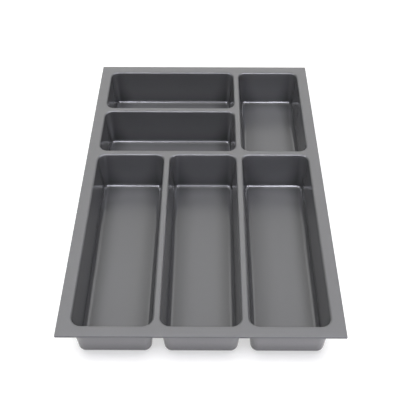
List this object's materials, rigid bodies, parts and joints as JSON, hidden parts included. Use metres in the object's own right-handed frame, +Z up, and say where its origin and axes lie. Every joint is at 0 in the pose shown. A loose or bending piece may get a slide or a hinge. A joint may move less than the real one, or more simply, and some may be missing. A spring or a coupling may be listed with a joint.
{
  "type": "cutlery tray",
  "caption": "Shallow drawer insert of formed grey plastic: flat deck with rolled-lip, drafted compartments for cutlery, long ones in front and shorter ones behind.",
  "frame": {"origin": "under the middle of the deck, on the plane that the compartment floors stand on", "axes": "+Z up, +Y to the back of the drawer, +X to the right of the person at the drawer"},
  "size_m": [0.298, 0.49, 0.052],
  "materials": {
    "grey_sheet": "satin, fine grain"
  },
  "bodies": {
    "root": {"deck_flange": "grey_sheet", "front_left_compartment": "grey_sheet", "front_middle_compartment": "grey_sheet", "front_right_compartment": "grey_sheet", "middle_wide_compartment": "grey_sheet", "back_wide_compartment": "grey_sheet", "back_right_compartment": "grey_sheet"}
  },
  "joints": []
}
